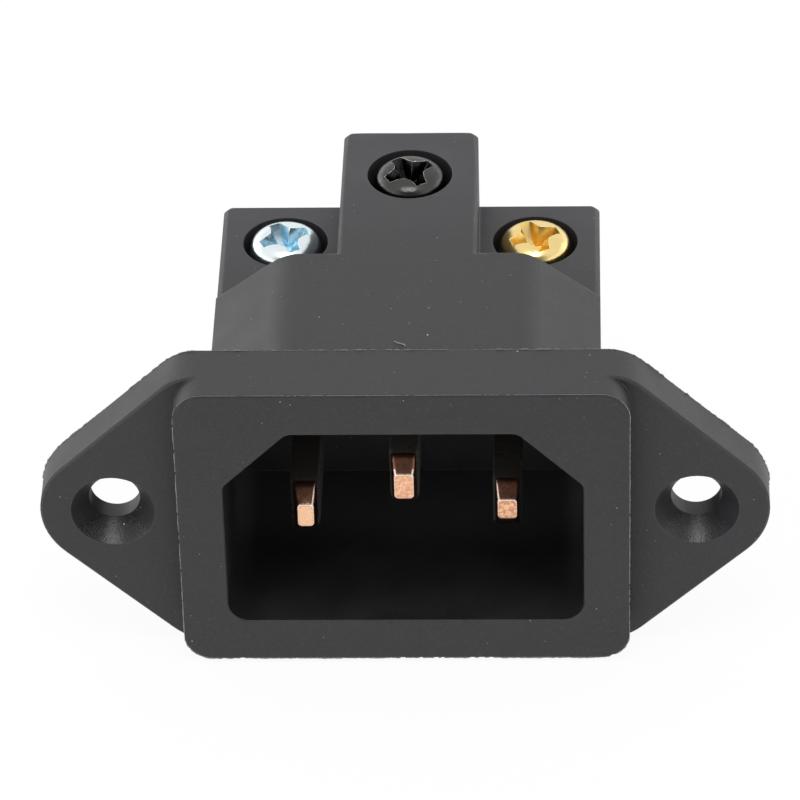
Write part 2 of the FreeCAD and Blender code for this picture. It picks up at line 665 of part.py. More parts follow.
def build_screw(pole):
    """A pan head screw with a cross recess; its flared tip turns in the pressure plate."""
    where = POLES[pole]
    body = new_body(f"{pole}_screw")
    shank = "( thread_radius - thread_play )"
    shank_end = mirrored(SCREW_LENGTH)
    neck_end = f"( -1 * {SCREW_LENGTH} - plate_lift_gap - plate_thickness / 2 )"
    tip_end = f"( -1 * {SCREW_LENGTH} - plate_lift_gap - plate_thickness )"
    sketch = upright(body, "ScrewProfile")
    add_polygon(sketch, [("0", "head_height"), ("head_radius", "head_height"),
                         ("head_radius", "0"), (shank, "0"), (shank, shank_end),
                         ("journal_radius", shank_end), ("journal_radius", neck_end),
                         ("( journal_radius + journal_flare )", tip_end), ("0", tip_end)])
    revolve(body, "Revolution", "Turned", sketch, 1)
    top = size("head_height")
    dress(body, "Fillet", "HeadRound", "head_round",
          lambda e: lies_at(e, 2, top))

    mouth = level(body, "RecessMouth", "head_height")
    add_polygon(mouth, cross("recess_span", "recess_arm", "recess_waist"))
    floor = level(body, "RecessFloor", "head_height - recess_depth")
    add_polygon(floor, cross("recess_floor_span", "recess_floor_arm", "recess_floor_waist"))
    loft(body, "Subtractive", "CrossRecess", mouth, floor)
    place(body, where["terminal_x"], where["screw_y"],
          f"( {where['blade_z']} + clamp_over_blade + screw_travel + head_stop_gap )")
    bind(body, "Placement.Rotation.Angle", "recess_turn * 1 deg")
    return body


def check(bodies):
    """Stop if an object failed to build, or a piece isn't one valid solid."""
    for item in document.Objects:
        if "Invalid" in item.State or "Error" in item.State:
            raise RuntimeError(f"{item.Label} is {item.State}")
    for body in bodies:
        shape = body.Shape
        if shape.isNull() or not shape.isValid() or len(shape.Solids) != 1:
            raise RuntimeError(f"{body.Label} isn't one valid solid")


def main():
    bodies = [build_housing()]
    for pole in POLES:
        bodies.append(build_blade(pole))
        bodies.append(build_clamp(pole))
        bodies.append(build_plate(pole))
        bodies.append(build_screw(pole))
    document.recompute()
    check(bodies)
    os.makedirs("parts", exist_ok=True)
    for body in bodies:
        body.Shape.exportStep(f"parts/{body.Label}.step")
        box = body.Shape.optimalBoundingBox()
        corners = (box.XMin, box.XMax, box.YMin, box.YMax, box.ZMin, box.ZMax)
        print(body.Label, " ".join(f"{value:.3f}" for value in corners), f"{body.Shape.Volume:.2f}")


main()
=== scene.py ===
import math
import random

import bmesh
import bpy
from bpy.props import FloatProperty, FloatVectorProperty, PointerProperty
from mathutils import Matrix, Vector, noise


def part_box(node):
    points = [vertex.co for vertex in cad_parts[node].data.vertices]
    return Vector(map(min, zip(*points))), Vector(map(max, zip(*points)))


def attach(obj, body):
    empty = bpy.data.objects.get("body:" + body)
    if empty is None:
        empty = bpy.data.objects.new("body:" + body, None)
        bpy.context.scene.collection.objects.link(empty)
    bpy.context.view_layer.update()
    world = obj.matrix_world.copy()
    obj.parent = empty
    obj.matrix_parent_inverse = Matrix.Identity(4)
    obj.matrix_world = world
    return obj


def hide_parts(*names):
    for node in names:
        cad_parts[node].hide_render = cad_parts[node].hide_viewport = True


bl_info = {
    "name": "Panel power inlet",
    "version": (1, 0, 0),
    "blender": (4, 5, 0),
    "location": "3D View > Sidebar > Inlet",
    "description": "Dresses the packed panel inlet with its finishes, screws and small marks",
    "category": "Object",
}

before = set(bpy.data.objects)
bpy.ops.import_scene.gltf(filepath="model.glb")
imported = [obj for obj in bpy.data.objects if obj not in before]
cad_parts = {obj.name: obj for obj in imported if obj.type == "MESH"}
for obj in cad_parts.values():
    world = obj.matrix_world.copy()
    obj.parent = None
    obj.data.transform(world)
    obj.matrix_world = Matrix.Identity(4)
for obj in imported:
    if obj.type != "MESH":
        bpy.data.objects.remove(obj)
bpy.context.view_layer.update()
MM = 0.001

# Each terminal screw's node, its body, its finish and the turn of its cross recess in degrees
SCREWS = (
    ("neutral_screw", "neutral_fastener", "zinc_steel", 25.5),
    ("live_screw", "live_fastener", "screw_brass", 23.0),
    ("earth_screw", "earth_fastener", "black_steel", 31.5),
)
# Each blade's node, how stained its tip is, which of the tip's upper corners carry a painted highlight
# line, and in millimetres how far the tip face and the chamfer's top are set back, the tip's lower edge is
# raised, and the tip is ground off on its left side
BLADES = (("neutral_pin", 0.15, ("right",), -0.28, -0.02, 0.0, 0.20),
          ("live_pin", 1.0, ("left",), 0.20, 0.25, 0.25, 0.0),
          ("earth_pin", 0.7, ("left", "right"), 0.0, 0.0, -0.18, 0.0))
# Places on the housing that marks, masks and flash follow
HOLE_ASIDE = 20.0 * MM
CONE_RADIUS = 2.90 * MM
CONE_BACK = -1.44 * MM
WELL_HALF_WIDTH, WELL_HALF_HEIGHT, WELL_ACROSS_CORNER = 12.4 * MM, 8.2 * MM, 16.4 * MM
WELL_MOUTH, WELL_BACK = -5.1 * MM, 11.75 * MM
BODY_BACK = 26.0 * MM
BLOCK_START, BLOCK_LEVEL = 11.9 * MM, 14.0 * MM
CENTRE_BLOCK_EDGE, BODY_SIDE = 4.8 * MM, 12.4 * MM
BODY_TOP = 9.74
BODY_FOOT = (0.0, 25.5 * MM, -9.7 * MM)
FLANGE_HALF_HEIGHT = 11.4
EAR_RADIUS, EAR_BLEND, EAR_BLEND_START, EAR_SLOPE = 5.0, 3.5, 15.25, math.radians(43.5)
FRAME_CORNER, FRAME_RADIUS = (13.4, 9.4), 2.0
CLAMPS = ("neutral_terminal", "live_terminal", "earth_terminal")
PLATES = ("neutral_pressure_plate", "live_pressure_plate", "earth_pressure_plate")


def colour_property(name, description, default):
    return FloatVectorProperty(name=name, description=description, subtype="COLOR", size=3,
                               min=0.0, max=1.0, default=default)


def length_property(name, description, default):
    return FloatProperty(name=name, description=description, unit="LENGTH", precision=5,
                         min=0.0, default=default)


def factor_property(name, description, default):
    return FloatProperty(name=name, description=description, subtype="FACTOR",
                         min=0.0, max=1.0, default=default)


def angle_property(name, description, degrees):
    return FloatProperty(name=name, description=description, subtype="ANGLE", unit="ROTATION",
                         default=math.radians(degrees))


class InletPlastic(bpy.types.PropertyGroup):
    """The moulded housing"""
    colour: colour_property("Colour", "Moulded plastic", (0.0148, 0.0149, 0.0168))
    # Pale colour for the edges: rubbed wear together with a painted highlight where the edges catch the
    # light
    worn_and_highlight_colour: colour_property("Worn colour", "Plastic where edges are rubbed pale", (0.16, 0.16, 0.165))
    roughness: factor_property("Roughness", "How matt the moulding is", 0.50)
    grain_size: length_property("Grain size", "Across one grain of the moulding", 0.16 * MM)
    grain_depth: length_property("Grain depth", "Height of the grain", 0.018 * MM)
    edge_width: length_property("Edge width", "Width of the pale line on the edges", 0.09 * MM)


class InletMetal(bpy.types.PropertyGroup):
    """Blades, screws and clamps"""
    copper: colour_property("Copper", "Freshly sheared tips of the blades", (0.95, 0.60, 0.38))
    copper_stain: colour_property("Copper stain", "Darker patches on the tips", (0.66, 0.27, 0.155))
    # Darker copper for faces that don't look to the front: duller rolled finish together with painted
    # shade
    rolled: colour_property("Rolled copper", "Dull sides of the blades", (0.27, 0.125, 0.080))
    # Painted shade: dark dull grey on the blades behind their tips, deep in the well
    painted_shade_coat: colour_property("Oxide", "Dull film on the blades behind their tips", (0.10, 0.092, 0.080))
    # Painted highlight: the bright line round the tips' edges
    rim_highlight_colour: colour_property("Copper rim", "Burnished line round the tips", (1.0, 0.86, 0.72))
    zinc: colour_property("Zinc", "Plated screw", (0.70, 0.77, 0.79))
    zinc_tint: colour_property("Zinc tint", "Blue film in the plated screw's recess", (0.47, 0.68, 0.79))
    brass: colour_property("Brass", "Brass screw and clamps", (0.76, 0.58, 0.25))
    brass_tint: colour_property("Brass tint", "Deeper brass in the recess", (0.84, 0.59, 0.18))
    blackened: colour_property("Blackened steel", "Earth screw", (0.062, 0.061, 0.060))
    # Painted shade: the earth screw's recess much darker than its head
    blackened_recess_shade: colour_property("Blackened inside", "Earth screw's recess", (0.018, 0.017, 0.017))
    steel: colour_property("Steel", "Pressure plates", (0.60, 0.60, 0.60))


class InletScrew(bpy.types.PropertyGroup):
    """The pan heads and their cross recesses"""
    recess_reach: length_property("Recess reach", "Axis to the tip of an arm", 1.84 * MM)
    recess_tip: length_property("Recess tip", "Width of an arm at its tip", 0.86 * MM)
    recess_waist: length_property("Recess waist", "Axis to the lobe between two arms", 1.04 * MM)
    recess_depth: length_property("Recess depth", "Depth of the cross recess", 1.35 * MM)
    thread_pitch: length_property("Thread pitch", "One turn of the thread", 0.5 * MM)
    thread_depth: length_property("Thread depth", "Crest to root of the thread", 0.27 * MM)


class InletStage(bpy.types.PropertyGroup):
    """Floor, light and camera"""
    floor_colour: colour_property("Floor", "Plain pale floor", (0.92, 0.92, 0.92))
    focal_length: FloatProperty(name="Focal length", description="Camera lens, in millimetres",
                                unit="CAMERA", default=251.55)
    distance: length_property("Distance", "Camera to the point it looks at", 374.3 * MM)
    yaw: angle_property("Yaw", "Camera turned about the vertical", -2.296)
    pitch: angle_property("Pitch", "Camera looking down", 37.012)
    roll: angle_property("Roll", "Camera rolled about its own line of sight", -1.611)
    aim: FloatVectorProperty(name="Aim", description="Point that the camera looks at", size=3,
                             subtype="TRANSLATION", unit="LENGTH", precision=5,
                             default=(-0.01 * MM, -5.2 * MM, 11.06 * MM))


def settings(scene):
    return scene.inlet_plastic, scene.inlet_metal, scene.inlet_screw, scene.inlet_stage


# Shader building

def new_group(name, inputs, outputs):
    """A node group with named sockets. Returns the tree and its two end nodes."""
    tree = bpy.data.node_groups.new(name, "ShaderNodeTree")
    kinds = {"float": "NodeSocketFloat", "vector": "NodeSocketVector"}
    for socket_name, kind, default in inputs:
        socket = tree.interface.new_socket(name=socket_name, in_out="INPUT", socket_type=kinds[kind])
        socket.default_value = default
    for socket_name, kind in outputs:
        tree.interface.new_socket(name=socket_name, in_out="OUTPUT", socket_type=kinds[kind])
    return tree, tree.nodes.new("NodeGroupInput"), tree.nodes.new("NodeGroupOutput")


def add_node(tree, kind, inputs=None, **attributes):
    """A node with its attributes set, and each input either linked or given its value."""
    node = tree.nodes.new(kind)
    for name, value in attributes.items():
        setattr(node, name, value)
    for name, value in (inputs or {}).items():
        if isinstance(value, bpy.types.NodeSocket):
            tree.links.new(value, node.inputs[name])
        else:
            node.inputs[name].default_value = value
    return node


def math_node(tree, operation, first, second=0.0):
    return add_node(tree, "ShaderNodeMath", {0: first, 1: second}, operation=operation).outputs[0]


def times(tree, first, second):
    return math_node(tree, "MULTIPLY", first, second)


def ramp(tree, value, low, high, start=0.0, end=1.0):
    """A smooth step of a value from low to high."""
    node = add_node(tree, "ShaderNodeMapRange", {"Value": value, "From Min": low, "From Max": high,
                                                 "To Min": start, "To Max": end},
                    interpolation_type="SMOOTHSTEP")
    return node.outputs["Result"]


def mix_colour(tree, mask, first, second):
    node = add_node(tree, "ShaderNodeMix", data_type="RGBA")
    for index, value in ((0, mask), (6, first), (7, second)):
        if isinstance(value, bpy.types.NodeSocket):
            tree.links.new(value, node.inputs[index])
        else:
            node.inputs[index].default_value = value
    return node.outputs[2]


def rgba(colour):
    return (colour[0], colour[1], colour[2], 1.0)


def object_point(tree):
    return add_node(tree, "ShaderNodeTexCoord").outputs["Object"]


def make_grain_group():
    """Fine uneven grain. Scale is in grains to a metre."""
    tree, start, end = new_group("Fine grain", (("Scale", "float", 6000.0), ("Detail", "float", 3.0)),
                                 (("Height", "float"), ("Patches", "float")))
    point = object_point(tree)
    fine = add_node(tree, "ShaderNodeTexNoise",
                    {"Vector": point, "Scale": start.outputs["Scale"],
                     "Detail": start.outputs["Detail"], "Roughness": 0.62})
    broad_scale = times(tree, start.outputs["Scale"], 0.045)
    broad = add_node(tree, "ShaderNodeTexNoise", {"Vector": point, "Scale": broad_scale,
                                                  "Detail": 3.0, "Roughness": 0.55})
    tree.links.new(fine.outputs["Fac"], end.inputs["Height"])
    tree.links.new(broad.outputs["Fac"], end.inputs["Patches"])
    return tree


def make_edge_group():
    """Rounded normals at the edges, and a mask of where the surface turns."""
    tree, start, end = new_group("Edge wear and highlight", (("Width", "float", 0.0001), ("Raggedness", "float", 0.6)),
                                 (("Edge", "float"), ("Normal", "vector")))
    bevel = add_node(tree, "ShaderNodeBevel", {"Radius": start.outputs["Width"]}, samples=6)
    geometry = add_node(tree, "ShaderNodeNewGeometry")
    alike = add_node(tree, "ShaderNodeVectorMath", {0: bevel.outputs[0], 1: geometry.outputs["Normal"]},
                     operation="DOT_PRODUCT").outputs["Value"]
    turned = ramp(tree, alike, 0.995, 0.80)
    broken = add_node(tree, "ShaderNodeTexNoise", {"Vector": object_point(tree), "Scale": 2600.0,
                                                   "Detail": 4.0, "Roughness": 0.7}).outputs["Fac"]
    broken = ramp(tree, broken, 0.36, 0.60)
    kept = math_node(tree, "SUBTRACT", 1.0, start.outputs["Raggedness"])
    share = math_node(tree, "ADD", kept, times(tree, broken, start.outputs["Raggedness"]))
    tree.links.new(times(tree, turned, share), end.inputs["Edge"])
    tree.links.new(bevel.outputs[0], end.inputs["Normal"])
    return tree


def make_dust_group():
    """Sparse pale specks. Amount is the share of the cells that hold one."""
    tree, start, end = new_group("Dust", (("Scale", "float", 700.0), ("Amount", "float", 0.02)),
                                 (("Specks", "float"),))
    point = object_point(tree)
    wobble = add_node(tree, "ShaderNodeTexNoise", {"Vector": point, "Scale": 5200.0, "Detail": 2.0})
    bent = add_node(tree, "ShaderNodeVectorMath", {0: wobble.outputs["Color"], 1: (0.00022,) * 3},
                    operation="MULTIPLY").outputs["Vector"]
    moved = add_node(tree, "ShaderNodeVectorMath", {0: point, 1: bent}, operation="ADD").outputs["Vector"]
    cells = add_node(tree, "ShaderNodeTexVoronoi", {"Vector": moved, "Scale": start.outputs["Scale"]})
    near = ramp(tree, cells.outputs["Distance"], 0.085, 0.045)
    chance = add_node(tree, "ShaderNodeSeparateColor", {"Color": cells.outputs["Color"]}).outputs[0]
    chosen = math_node(tree, "LESS_THAN", chance, start.outputs["Amount"])
    tree.links.new(times(tree, near, chosen), end.inputs["Specks"])
    return tree


GROUP_MAKERS = {"Fine grain": make_grain_group, "Edge wear and highlight": make_edge_group, "Dust": make_dust_group}


def use_group(tree, name, inputs):
    """The shared node group, made at its first use."""
    group = bpy.data.node_groups.get(name) or GROUP_MAKERS[name]()
    node = tree.nodes.new("ShaderNodeGroup")
    node.node_tree = group
    for socket_name, value in inputs.items():
        node.inputs[socket_name].default_value = value
    return node


def new_material(name):
    material = bpy.data.materials.new(name)
    material.use_nodes = True
    tree = material.node_tree
    return material, tree, tree.nodes["Principled BSDF"]


def bump(tree, height, distance, normal):
    return add_node(tree, "ShaderNodeBump", {"Height": height, "Distance": distance, "Strength": 1.0,
                                             "Normal": normal}).outputs["Normal"]


def dress(node_name, material):
    """Give a CAD node one material in all its slots."""
    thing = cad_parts[node_name]
    thing.data.materials.clear()
    thing.data.materials.append(material)


def countersink_mask(tree):
    """1 on the lower part of the two fixing holes' cones, 0 elsewhere."""
    place = add_node(tree, "ShaderNodeSeparateXYZ", {0: object_point(tree)})
    beside = math_node(tree, "SUBTRACT", math_node(tree, "ABSOLUTE", place.outputs["X"]), HOLE_ASIDE)
    from_axis = add_node(tree, "ShaderNodeCombineXYZ", {"X": beside, "Z": place.outputs["Z"]})
    radius = add_node(tree, "ShaderNodeVectorMath", {0: from_axis.outputs[0]}, operation="LENGTH")
    inside = math_node(tree, "LESS_THAN", radius.outputs["Value"], CONE_RADIUS)
    sunk = math_node(tree, "LESS_THAN", place.outputs["Y"], CONE_BACK)
    below = ramp(tree, place.outputs["Z"], -0.8 * MM, -1.6 * MM)
    return times(tree, times(tree, inside, sunk), below)


def well_mask(tree, place):
    """1 on the plug well's own walls, its back wall left out, and 0 elsewhere."""
    aside = math_node(tree, "ABSOLUTE", place.outputs["X"])
    across_corner = math_node(tree, "ADD", aside, place.outputs["Z"])
    inside = math_node(tree, "GREATER_THAN", place.outputs["Y"], WELL_MOUTH)
    for value, limit in ((aside, WELL_HALF_WIDTH), (across_corner, WELL_ACROSS_CORNER),
                         (math_node(tree, "ABSOLUTE", place.outputs["Z"]), WELL_HALF_HEIGHT),
                         (place.outputs["Y"], WELL_BACK)):
        inside = times(tree, inside, math_node(tree, "LESS_THAN", value, limit))
    return inside


def long_edge_mask(tree, place):
    """1 near the terminal blocks' long upper edges and outer sides, 0 elsewhere."""
    aside = math_node(tree, "ABSOLUTE", place.outputs["X"])
    from_edge = math_node(tree, "ABSOLUTE", math_node(tree, "SUBTRACT", aside, CENTRE_BLOCK_EDGE))
    edges = math_node(tree, "MAXIMUM", math_node(tree, "LESS_THAN", from_edge, 0.8 * MM),
                      math_node(tree, "GREATER_THAN", aside, BODY_SIDE))
    return times(tree, edges, ramp(tree, place.outputs["Y"], BLOCK_START, BLOCK_LEVEL))


def scaled(colour, factor):
    """A colour at another brightness, as RGBA."""
    return rgba([min(1.0, channel * factor) for channel in colour])


def plastic_material(plastic):
    """Matt black moulding: fine grain, pale broken edges that are partly wear and partly painted
    highlight, painted shade at the well's mouth, painted light deep in the well and towards the back, and
    a few specks of dust.
    """
    material, tree, shader = new_material("Moulded black plastic")
    grain = use_group(tree, "Fine grain", {"Scale": 1.0 / plastic.grain_size, "Detail": 3.0})
    edge = use_group(tree, "Edge wear and highlight", {"Raggedness": 0.7})
    dust = use_group(tree, "Dust", {"Scale": 420.0, "Amount": 0.018})
    place = add_node(tree, "ShaderNodeSeparateXYZ", {0: object_point(tree)})
    depth = place.outputs["Y"]
    # The terminal blocks' long upper edges get a wider bevel: wider rounded normals and a wider painted
    # highlight line
    tree.links.new(ramp(tree, long_edge_mask(tree, place), 0.0, 1.0, plastic.edge_width,
                        plastic.edge_width * 3.6), edge.inputs["Width"])
    cone = countersink_mask(tree)
    patch = ramp(tree, grain.outputs["Patches"], 0.3, 0.7)
    fleck = ramp(tree, grain.outputs["Height"], 0.46, 0.70, 0.0, 0.55)
    base = mix_colour(tree, patch, scaled(plastic.colour, 0.82), scaled(plastic.colour, 1.18))
    base = mix_colour(tree, fleck, base, scaled(plastic.colour, 2.0))
    well = well_mask(tree, place)
    # Painted shade: the well's walls darken towards the mouth, fading out 4 mm behind it
    painted_mouth_shade = times(tree, well, ramp(tree, depth, 4.0 * MM, -1.0 * MM, 0.0, 0.5))
    base = mix_colour(tree, painted_mouth_shade, base, scaled(plastic.colour, 0.2))
    # Painted light: the well's walls lighten from 2 mm to 8.5 mm back, deep in the well
    painted_deep_light = times(tree, well, ramp(tree, depth, 2.0 * MM, 8.5 * MM))
    base = mix_colour(tree, painted_deep_light, base, scaled(plastic.colour, 4.8))
    # Painted light: the body's colour lightens towards its back, from the terminal blocks to the rear
    base = mix_colour(tree, ramp(tree, depth, BLOCK_START, BODY_BACK), base,
                      scaled(plastic.colour, 2.0))
    # Pale broken line along the edges: partly wear, partly a painted highlight
    base = mix_colour(tree, times(tree, edge.outputs["Edge"], 0.55), base, rgba(plastic.worn_and_highlight_colour))
    base = mix_colour(tree, dust.outputs["Specks"], base, (0.55, 0.54, 0.52, 1.0))
    tree.links.new(base, shader.inputs["Base Color"])
    matt = ramp(tree, grain.outputs["Patches"], 0.2, 0.8, plastic.roughness - 0.05,
                plastic.roughness + 0.07)
    tree.links.new(math_node(tree, "SUBTRACT", matt, times(tree, cone, 0.24)), shader.inputs["Roughness"])
    sparkle = math_node(tree, "ADD", 1.0, times(tree, cone, 0.8))
    height = times(tree, grain.outputs["Height"], sparkle)
    relief = bump(tree, height, plastic.grain_depth, edge.outputs["Normal"])
    tree.links.new(relief, shader.inputs["Normal"])
    shader.inputs["IOR"].default_value = 1.5
    return material


def attribute(tree, name):
    return add_node(tree, "ShaderNodeAttribute", attribute_name=name).outputs["Fac"]


def copper_material(metal):
    """Copper blades: dull on the rolled sides, bright and mottled on the sheared tips; the sides' darker
    colour is partly painted shade, and the tips carry painted highlight and shade lines with a painted
    shade coat behind them.
    """
    material, tree, shader = new_material("Bare copper")
    grain = use_group(tree, "Fine grain", {"Scale": 5200.0, "Detail": 4.0})
    edge = use_group(tree, "Edge wear and highlight", {"Width": 0.10 * MM, "Raggedness": 0.35})
    geometry = add_node(tree, "ShaderNodeNewGeometry")
    facing = add_node(tree, "ShaderNodeSeparateXYZ", {0: geometry.outputs["Normal"]})
    # Faces that look to the front get bright sheared copper, the others darker rolled copper: partly real
    # finish, partly painted shade
    front = ramp(tree, facing.outputs["Y"], -0.80, -0.97)
    mottle = add_node(tree, "ShaderNodeTexNoise", {"Vector": object_point(tree), "Scale": 3400.0,
                                                   "Detail": 5.0, "Roughness": 0.66,
                                                   "Distortion": 0.8}).outputs["Fac"]
    stained = ramp(tree, mottle, 0.42, 0.58)
    dulled = math_node(tree, "ADD", times(tree, stained, 0.5), times(tree, attribute(tree, "stain"), 0.35))
    sides = mix_colour(tree, dulled, rgba(metal.rolled), scaled(metal.rolled, 0.55))
    tips = mix_colour(tree, times(tree, stained, attribute(tree, "stain")),
                      rgba(metal.copper), rgba(metal.copper_stain))
    base = mix_colour(tree, front, sides, tips)
    # Painted shade: the blade's body behind its tip gets a dark dull grey and less metal
    dull = attribute(tree, "dull")
    base = mix_colour(tree, dull, base, rgba(metal.painted_shade_coat))
    # Painted highlight and shade round the tips: rim above 0 gives bright lines, below 0 a darker line
    # inside them
    rim = attribute(tree, "rim")
    broken = ramp(tree, grain.outputs["Height"], 0.34, 0.50, 0.35, 1.0)
    sunk = math_node(tree, "MAXIMUM", times(tree, rim, -1.0), 0.0)
    painted_groove_shade = times(tree, sunk, broken)
    base = mix_colour(tree, painted_groove_shade, base, scaled(metal.copper_stain, 0.7))
    line = times(tree, math_node(tree, "MAXIMUM", rim, 0.0), broken)
    base = mix_colour(tree, line, base, rgba(metal.rim_highlight_colour))
    tree.links.new(base, shader.inputs["Base Color"])
    tree.links.new(ramp(tree, dull, 0.0, 1.0, 1.0, 0.3), shader.inputs["Metallic"])
    tree.links.new(ramp(tree, grain.outputs["Patches"], 0.25, 0.75, 0.24, 0.36),
                   shader.inputs["Roughness"])
    tree.links.new(bump(tree, grain.outputs["Height"], 0.012 * MM, edge.outputs["Normal"]),
                   shader.inputs["Normal"])
    return material


def bright_material(name, colour, roughness, tint=None, worn=None, relief=0.006, edge_glint_and_wear=0.6,
                    raggedness=0.3):
    """Plated or bare metal, with its recess tinted where the mesh marks one.

    relief is the depth of its grain in millimetres, edge_glint_and_wear how bright its pale edges are,
    which are partly wear and partly painted glints, and raggedness how broken they are."""
    material, tree, shader = new_material(name)
    grain = use_group(tree, "Fine grain", {"Scale": 3600.0, "Detail": 4.0})
    edge = use_group(tree, "Edge wear and highlight", {"Width": 0.06 * MM, "Raggedness": raggedness})
    patch = ramp(tree, grain.outputs["Patches"], 0.3, 0.7)
    uneven = ramp(tree, grain.outputs["Patches"], 0.25, 0.75, roughness - 0.05, roughness + 0.08)
    base = mix_colour(tree, patch, scaled(colour, 0.90), scaled(colour, 1.06))
    waves = add_node(tree, "ShaderNodeTexNoise", {"Vector": object_point(tree), "Scale": 1500.0,
                                                  "Detail": 3.0, "Roughness": 0.6}).outputs["Fac"]
    # Pale edges: partly worn metal, partly painted glints where the edges catch the light
    rubbed = times(tree, edge.outputs["Edge"], edge_glint_and_wear)
    # Recess tint: blue film on the zinc screw, deeper brass on the brass one, painted shade in the
    # blackened screw
    if tint is not None:
        inside = attribute(tree, "recess")
        film = times(tree, inside, ramp(tree, waves, 0.40, 0.56, 0.35, 1.0))
        base = mix_colour(tree, film, base, rgba(tint))
        uneven = math_node(tree, "ADD", uneven, times(tree, inside, 0.05))
        rubbed = times(tree, rubbed, ramp(tree, inside, 0.0, 1.0, 1.0, 0.3))
    # The pale edge colour, for wear and painted glints
    if worn is None:
        worn = [min(1.0, c * 1.3 + 0.04) for c in colour]
    base = mix_colour(tree, rubbed, base, rgba(worn))
    tree.links.new(base, shader.inputs["Base Color"])
    shader.inputs["Metallic"].default_value = 1.0
    tree.links.new(uneven, shader.inputs["Roughness"])
    wavy = bump(tree, waves, 0.022 * MM, edge.outputs["Normal"])
    tree.links.new(bump(tree, grain.outputs["Height"], relief * MM, wavy), shader.inputs["Normal"])
    return material


# Screws

# Radius and height of each ring of a pan head over its underside, from the crown to the neck
HEAD_PROFILE = ((0.0, 1.78), (0.90, 1.76), (1.45, 1.70), (1.82, 1.60), (2.03, 1.49), (2.23, 1.35),
                (2.38, 1.18), (2.49, 0.93), (2.56, 0.60), (2.61, 0.30), (2.62, 0.10), (2.58, 0.0),
                (1.62, 0.0))
# The CAD screw's head height, tip length and tip's cone, and the shank's radius, all in millimetres
HEAD_HEIGHT, TIP_LENGTH, TIP_CONE, SHANK_RADIUS = 2.1, 0.35, 0.4, 1.44
NECK_RADIUS, TIP_RADIUS = 0.9, 1.25
# How far the recess lies off the screw's axis, towards the neutral side and the front
RECESS_ASIDE, RECESS_FORWARD = 0.05 * MM, 0.12 * MM
# A face is the recess's own where its middle is this near the axis and this far under the crown
RECESS_SPAN, RECESS_SUNK = 1.95, (0.03, 1.7)
SPIN_STEPS = 72
SHARP = math.radians(32)


def join_rings(mesh, upper, lower):
    """Faces between two rings of as many points, or between a ring and a single point."""
    faces = []
    count = max(len(upper), len(lower))
    for step in range(count):
        following = (step + 1) % count
        if len(upper) == 1:
            corners = (upper[0], lower[step], lower[following])
        elif len(lower) == 1:
            corners = (upper[step], lower[0], upper[following])
        else:
            corners = (upper[step], lower[step], lower[following], upper[following])
        faces.append(mesh.faces.new(corners))
    return faces


def spin_profile(points, steps):
    """A closed surface turned about Z from (radius, height) points that start and end on the axis."""
    mesh = bmesh.new()
    rings = []
    for radius, height in points:
        if radius == 0.0:
            rings.append([mesh.verts.new((0.0, 0.0, height))])
            continue
        ring = []
        for step in range(steps):
            angle = 2 * math.pi * step / steps
            ring.append(mesh.verts.new((radius * math.cos(angle), radius * math.sin(angle), height)))
        rings.append(ring)
    for upper, lower in zip(rings, rings[1:]):
        join_rings(mesh, upper, lower)
    bmesh.ops.recalc_face_normals(mesh, faces=mesh.faces)
    return mesh


def thread_points(start, end, radius, pitch, depth, neck):
    """Profile of a threaded shank as rings, crest and root, from start down to end."""
    points = [(radius, start)]
    height = start
    while height - pitch > end:
        points += [(radius, height - 0.08 * pitch), (radius - depth, height - 0.5 * pitch),
                   (radius, height - 0.92 * pitch)]
        height -= pitch
    points += [(radius - 0.1, end + 0.12), (radius - 0.28, end), (neck, end)]
    return points


def star_outline(reach, tip, waist, roundness, steps=6):
    """A four-pointed star with blunt tips. Its lobes are arcs at roundness 1, corners at 0."""
    half, near = tip / 2, waist / math.sqrt(2)
    centre = (reach ** 2 + half ** 2 - 2 * near ** 2) / (2 * (reach + half) - 4 * near)
    radius = (centre - near) * math.sqrt(2)
    first = math.atan2(half - centre, reach - centre)
    last = math.atan2(reach - centre, half - centre)
    sweep = (last - first) % (2 * math.pi) - 2 * math.pi
    lobe = []
    for step in range(steps + 1):
        angle = first + sweep * step / steps
        arc = Vector((centre + radius * math.cos(angle), centre + radius * math.sin(angle)))
        share = step / (steps / 2)
        if share <= 1.0:
            straight = Vector((reach, half)).lerp(Vector((near, near)), share)
        else:
            straight = Vector((near, near)).lerp(Vector((half, reach)), share - 1.0)
        lobe.append(straight.lerp(arc, roundness))
    outline = []
    for quarter in range(4):
        outline.extend(Matrix.Rotation(quarter * math.pi / 2, 2) @ point for point in lobe)
    return outline


# Depth, reach, tip width and waist as shares of the recess's sizes, and how round its lobes are
RECESS_LEVELS = ((-0.30, 1.10, 1.15, 1.10, 0.5), (0.08, 1.0, 1.0, 1.0, 0.5), (0.24, 0.94, 0.90, 0.76, 0.2),
                 (0.72, 0.72, 0.66, 0.50, 0.0), (1.0, 0.50, 0.50, 0.38, 0.0))
RECESS_POINT = 0.15


def recess_cutter(screw, turn, top):
    """A tapered star that ends in a shallow point."""
    reach, tip, waist, depth = (value / MM for value in (screw.recess_reach, screw.recess_tip,
                                                         screw.recess_waist, screw.recess_depth))
    mesh = bmesh.new()
    rings = []
    for share, reach_share, tip_share, waist_share, roundness in RECESS_LEVELS:
        outline = star_outline(reach * reach_share, tip * tip_share, waist * waist_share, roundness)
        turned = [Matrix.Rotation(turn, 2) @ point for point in outline]
        rings.append([mesh.verts.new((*point, top - depth * share)) for point in turned])
    for upper, lower in zip(rings, rings[1:]):
        join_rings(mesh, upper, lower)
    mesh.faces.new(rings[0])
    join_rings(mesh, rings[-1], [mesh.verts.new((0.0, 0.0, top - depth - RECESS_POINT))])
    bmesh.ops.recalc_face_normals(mesh, faces=mesh.faces)
    return mesh


